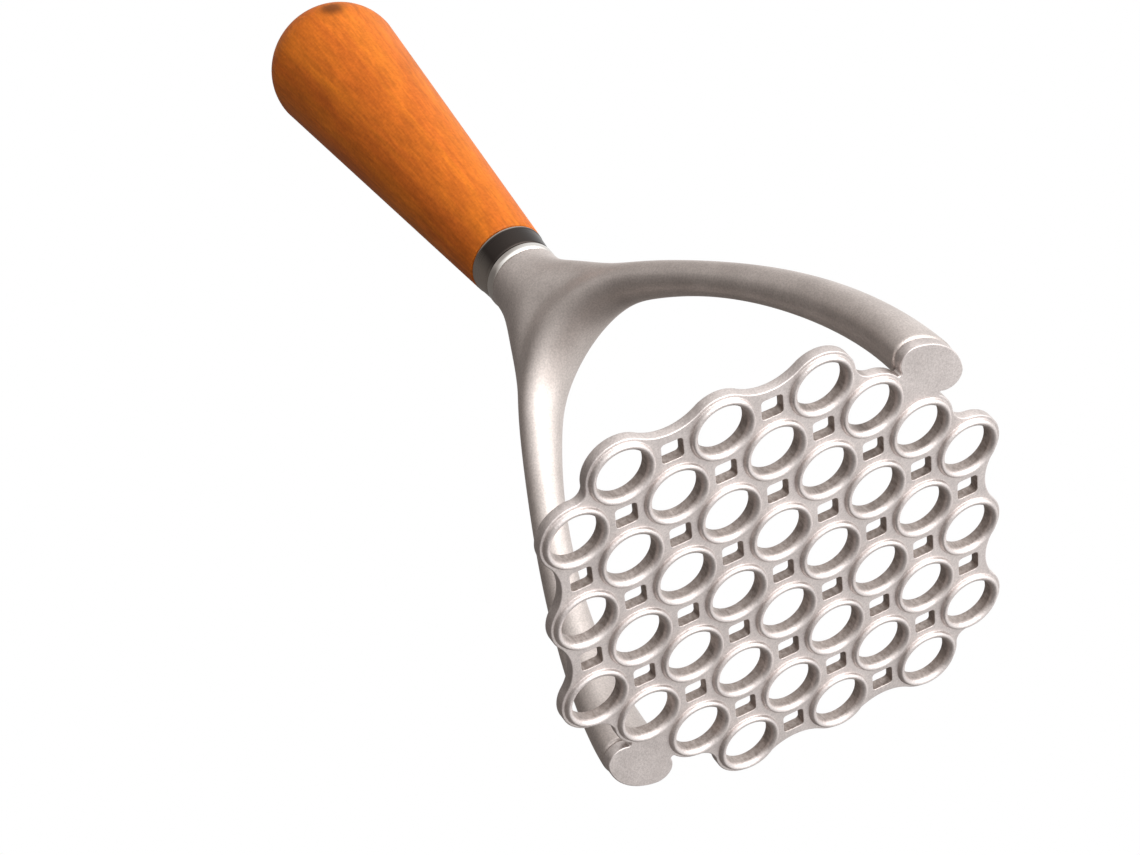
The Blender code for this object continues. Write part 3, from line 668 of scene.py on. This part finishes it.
# Painted reflection: the side that this direction points to is turned grey, as if it caught the light.
leftward = add_node(tree, "ShaderNodeVectorMath", {0: place, 1: PAINTED_REFLECTION_SIDE}, operation="DOT_PRODUCT")
left_edge = {"Value": leftward, "From Min": 0.0054, "From Max": 0.0089}
painted_reflection = add_node(tree, "ShaderNodeMapRange", left_edge, interpolation_type="SMOOTHSTEP")
lip_and_reflection = add_node(tree, "ShaderNodeMath", {0: lip_band, 1: painted_reflection}, operation="MAXIMUM")
black_to_grey = {"Factor": lip_and_reflection, "A": linear("3C3633"), "B": linear("B5ADA5")}
colour = add_node(tree, "ShaderNodeMix", black_to_grey, data_type="RGBA")
rough = add_node(tree, "ShaderNodeMapRange", {"Value": lines, **NOISE_SPAN, "To Min": 0.26, "To Max": 0.4})
bump = add_node(tree, "ShaderNodeBump", {"Height": lines, "Strength": 0.2, "Distance": 0.00005})
looks = {"Base Color": colour, "Metallic": 1.0, "Roughness": rough, "Normal": bump}
shader = add_node(tree, "ShaderNodeBsdfPrincipled", looks)
add_node(tree, "ShaderNodeOutputMaterial", {"Surface": shader})

ferrule = add_piece("ferrule_gunmetal", turned_surface(ferrule_profile()), ferrule_finish)
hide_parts("ferrule")
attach(ferrule, "root")

# ---------------------------------------------------------------------------
# The handle is turned from one piece of fine-grained hardwood, a slim cone that swells into a rounded
# butt, then stained orange-brown and varnished. A bored tenon goes down into the ferrule.

SHOULDER, SHOULDER_ROUND, BELLY, HANDLE_TOP = 0.1254, 0.0005, 0.2199, 0.2344
NECK_RADIUS, BELLY_RADIUS, TENON_RADIUS = 0.0095, 0.0171, 0.0069
TENON_BOTTOM, INSERT_BORE, BORE_TOP, STUD_BORE_TOP = 0.1204, 0.0052, 0.1367, 0.1397
SCORCHED_SPOT = (0.0132, -0.0108, 0.2212)


def handle_profile():
    """From the end of the bore down to the tenon, over the shoulder, up the cone and round the butt.

    The cone's radius grows evenly from neck to belly, and the butt is a quarter of a slightly squared
    ellipse: radius = belly x cos(t) to the power 0.95, height = butt x sin(t).
    """
    bore = [(0, STUD_BORE_TOP), (STUD_HOLE, STUD_BORE_TOP), (STUD_HOLE, BORE_TOP), (INSERT_BORE, BORE_TOP)]
    tenon = [(INSERT_BORE, TENON_BOTTOM), (TENON_RADIUS, TENON_BOTTOM), (TENON_RADIUS, SHOULDER)]
    edge = rounded_corner(NECK_RADIUS, SHOULDER, SHOULDER_ROUND, -1)
    neck, belly = np.array([NECK_RADIUS, SHOULDER + SHOULDER_ROUND]), np.array([BELLY_RADIUS, BELLY])
    cone = neck + (belly - neck) * np.linspace(0.01, 1, 60)[:, None]
    turn = np.linspace(0, math.pi / 2, 40)[1:-1]
    height = BELLY + (HANDLE_TOP - BELLY) * np.sin(turn)
    butt = np.stack([BELLY_RADIUS * np.cos(turn) ** 0.95, height], axis=1)
    return np.concatenate([bore, tenon, edge, cone, butt, [(0, HANDLE_TOP)]])


# Stained and varnished beech: a warm orange-brown with fine, faint streaks and flecks along the grain,
# under a thin satin varnish that keeps a soft sheen. One scorched spot is left at the edge of the butt.
wood_finish, tree, place = new_finish("varnished_beech")
along = add_node(tree, "ShaderNodeMapping", {"Vector": place, "Scale": (1.0, 1.0, 0.1)})
swirl = {"Vector": along, "Scale": 160.0, "Detail": 4.0, "Distortion": 0.8}
growth = add_node(tree, "ShaderNodeTexNoise", swirl)
colour = add_node(tree, "ShaderNodeValToRGB", {"Fac": growth})
low, high = colour.color_ramp.elements
low.position, low.color = NOISE_LOW, linear("A85219")
high.position, high.color = NOISE_HIGH, linear("B76319")
streaks, fine_streaks = (along, 700.0, 0.88, 1.08), (along, 1600.0, 0.84, 1.1)
flecks, patches = (place, 1300.0, 0.88, 1.08), (place, 60.0, 0.95, 1.04)
for source, scale, least, most in (streaks, fine_streaks, flecks, patches):
    grain = add_node(tree, "ShaderNodeTexNoise", {"Vector": source, "Scale": scale, "Detail": 2.0})
    grain_span = {"Value": grain, **NOISE_SPAN, "To Min": least, "To Max": most}
    shade = add_node(tree, "ShaderNodeMapRange", grain_span)
    colour = add_node(tree, "ShaderNodeVectorMath", {0: colour, 1: shade}, operation="MULTIPLY")
away = add_node(tree, "ShaderNodeVectorMath", {0: place, 1: SCORCHED_SPOT}, operation="DISTANCE")
spot_edge = {"Value": away, "From Min": 0.001, "From Max": 0.0046, "To Min": 0.34, "To Max": 1.0}
scorch = add_node(tree, "ShaderNodeMapRange", spot_edge, interpolation_type="SMOOTHSTEP")
colour = add_node(tree, "ShaderNodeVectorMath", {0: colour, 1: scorch}, operation="MULTIPLY")
looks = {"Base Color": colour, "Roughness": 0.5, "Specular IOR Level": 0.08}
varnish = {"Coat Weight": 0.05, "Coat Roughness": 0.3}
shader = add_node(tree, "ShaderNodeBsdfPrincipled", {**looks, **varnish})
add_node(tree, "ShaderNodeOutputMaterial", {"Surface": shader})

handle = add_piece("handle_turned", turned_surface(handle_profile(), closed=False), wood_finish)
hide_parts("handle")
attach(handle, "root")

# ---------------------------------------------------------------------------
# The stud and the dowels are cut from ground steel rod, and the barbed insert is turned from brass and
# pressed into the handle. All are hidden once the masher is put together.

# Ground steel is a cool, even grey and turned brass a soft yellow, and both carry fine lines round the axis.
# Each has a name, how fine its lines are along Z, its roughness, its two colours and its nodes.
steel_nodes, brass_nodes = ("stud", "dowel_right", "dowel_left"), ("threaded_insert",)
steel = ("ground_steel_rod", 6000.0, (0.22, 0.42), ("A3A3A5", "BDBDBE"), steel_nodes)
brass = ("turned_brass", 4000.0, (0.25, 0.4), ("C99F52", "DDB56A"), brass_nodes)
for name, fineness, (least, most), (dull, bright), nodes in (steel, brass):
    finish, tree, place = new_finish(name)
    lines = lathe_lines(tree, place, 60.0, fineness)
    rough = add_node(tree, "ShaderNodeMapRange", {"Value": lines, "To Min": least, "To Max": most})
    colours = {"Factor": lines, "A": linear(dull), "B": linear(bright)}
    colour = add_node(tree, "ShaderNodeMix", colours, data_type="RGBA")
    looks = {"Base Color": colour, "Metallic": 1.0, "Roughness": rough}
    shader = add_node(tree, "ShaderNodeBsdfPrincipled", looks)
    add_node(tree, "ShaderNodeOutputMaterial", {"Surface": shader})
    for node in nodes:
        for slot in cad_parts[node].material_slots:
            slot.material = finish

# ---------------------------------------------------------------------------
# The studio: a white surround, and a light tent that is brightest low on the right and dark on the left
# and over the camera. A broad lamp stands before its bright side. A pale floor shows only from above.

WARM_SHADE = (1.0, 0.90, 0.84, 1.0)
TENT_RADIUS, FLOOR_REACH = 6.0, 4.0
KEY_SIDE, KEY_GAP = np.array([0.83, -0.15, -0.50]), 0.75
HANDLE_MIDDLE, FLOOR_MIDDLE = (0.0, 0.0, 0.18), (0.0, 0.0, 0.0)
middle = (np.array(solid_low) + np.array(solid_high)) / 2


def seen_directly(tree):
    """1 for rays from the camera, a mirror or glass, and 0 for rays that only carry light."""
    path = add_node(tree, "ShaderNodeLightPath").outputs
    rays = {0: path["Is Camera Ray"], 1: path["Is Glossy Ray"]}
    seen = add_node(tree, "ShaderNodeMath", rays, operation="MAXIMUM")
    return add_node(tree, "ShaderNodeMath", {0: seen, 1: path["Is Transmission Ray"]}, operation="MAXIMUM")


def add_lamp(name, size, energy, location, target, colour=WHITE[:3], only=None):
    """A round lamp that faces a target. It lights everything, or only the one piece that it is given."""
    data = bpy.data.lights.new(name, "AREA")
    data.shape = "DISK"
    data.size, data.energy, data.color = size, energy, colour
    lamp = bpy.data.objects.new(name, data)
    lamp.location = location
    lamp.rotation_euler = (lamp.location - Vector(target)).to_track_quat("Z", "Y").to_euler()
    bpy.context.scene.collection.objects.link(lamp)
    if only is not None:
        lit = bpy.data.collections.new("lit_by_" + name)
        lit.objects.link(only)
        lamp.light_linking.receiver_collection = lit


world = bpy.data.worlds.new("white_studio")
bpy.context.scene.world = world
world.use_nodes = True
tree = world.node_tree
tree.nodes.clear()
level = add_node(tree, "ShaderNodeMapRange", {"Value": seen_directly(tree), "To Min": 0.85, "To Max": 1.0})
light = add_node(tree, "ShaderNodeBackground", {"Color": WHITE, "Strength": level})
add_node(tree, "ShaderNodeOutputWorld", {"Surface": light})

# The tent's cloth glows evenly, save for lit and shaded patches, and the shade is a little warm. Each patch
# has a direction from the object, the shares of it where it starts and is full, and the light it adds or
# takes.
tent_finish, tree, place = new_finish("light_tent_cloth")
outwards = add_node(tree, "ShaderNodeVectorMath", {0: place}, operation="NORMALIZE")


def tent_patch(facing, start, full, light):
    """The light that one patch adds or takes at each place on the tent."""
    share = add_node(tree, "ShaderNodeVectorMath", {0: outwards, 1: facing}, operation="DOT_PRODUCT")
    soft = {"Value": share, "From Min": start, "From Max": full, "To Max": light}
    return add_node(tree, "ShaderNodeMapRange", soft, interpolation_type="SMOOTHSTEP")


left = tent_patch((-0.985, -0.1, 0.1), -0.1, 0.6, 0.81)
over = tent_patch((-0.1, -0.3, 0.95), 0.55, 0.92, 0.58)
under = tent_patch((-0.1, -0.2, -0.97), 0.85, 0.98, 0.25)
low_right = tent_patch((0.877, -0.219, -0.419), 0.35, 0.7, 0.5)
shade = add_node(tree, "ShaderNodeMath", {0: left, 1: over}, operation="MAXIMUM")
shade = add_node(tree, "ShaderNodeMath", {0: shade, 1: under}, operation="MAXIMUM")
cloth = add_node(tree, "ShaderNodeMath", {0: 1.0, 1: shade}, operation="SUBTRACT")
cloth = add_node(tree, "ShaderNodeMath", {0: cloth, 1: low_right}, operation="ADD")
warmth = add_node(tree, "ShaderNodeMix", {"Factor": cloth, "A": WARM_SHADE, "B": WHITE}, data_type="RGBA")
glow = add_node(tree, "ShaderNodeEmission", {"Color": warmth, "Strength": cloth})
add_node(tree, "ShaderNodeOutputMaterial", {"Surface": glow})
turn = np.linspace(0, math.pi, 25)
dome = TENT_RADIUS * np.stack([np.sin(turn), np.cos(turn)], axis=1)
tent = add_piece("light_tent", turned_surface(dome, 48, closed=False), tent_finish)
tent.visible_camera = False

add_lamp("key", 1.0, 6.2, middle + KEY_GAP * KEY_SIDE, middle)

# A warm lamp level with the handle draws the line between the handle's light and dark sides.
add_lamp("handle_lamp", 0.3, 1.7, (0.58, -0.13, 0.18), HANDLE_MIDDLE, (0.93, 1.0, 0.7), only=handle)

# The floor is white acrylic that glows a little, as a light table does, and it is clear from below.
floor_finish, tree, place = new_finish("pale_floor")
grain = add_node(tree, "ShaderNodeTexNoise", {"Vector": place, "Scale": 8.0, "Detail": 2.0})
whites = {"Factor": grain, "A": linear("F1EFEC"), "B": linear("F5F4F2")}
acrylic = add_node(tree, "ShaderNodeMix", whites, data_type="RGBA")
matt = add_node(tree, "ShaderNodeBsdfDiffuse", {"Color": acrylic})
level = add_node(tree, "ShaderNodeMapRange", {"Value": seen_directly(tree), "To Max": 0.2})
lit = add_node(tree, "ShaderNodeEmission", {"Color": acrylic, "Strength": level})
top = add_node(tree, "ShaderNodeAddShader", {0: matt, 1: lit})
clear = add_node(tree, "ShaderNodeBsdfTransparent")
below = add_node(tree, "ShaderNodeNewGeometry").outputs["Backfacing"]
sheet = add_node(tree, "ShaderNodeMixShader", {0: below, 1: top, 2: clear})
add_node(tree, "ShaderNodeOutputMaterial", {"Surface": sheet})
floor_square = Surface()
corners = floor_square.add_points(FLOOR_REACH * np.array([(-1, -1, 0), (1, -1, 0), (1, 1, 0), (-1, 1, 0)]))
floor_square.faces = [corners.tolist()]
floor = add_piece("floor", floor_square, floor_finish)
floor.visible_shadow = floor.visible_diffuse = floor.visible_glossy = floor.visible_transmission = False

# A lamp over the floor brings out the masher's soft shadow, which shows from above.
add_lamp("floor_lamp", 1.4, 30.0, (1.2, 0.9, 2.6), FLOOR_MIDDLE, only=floor)
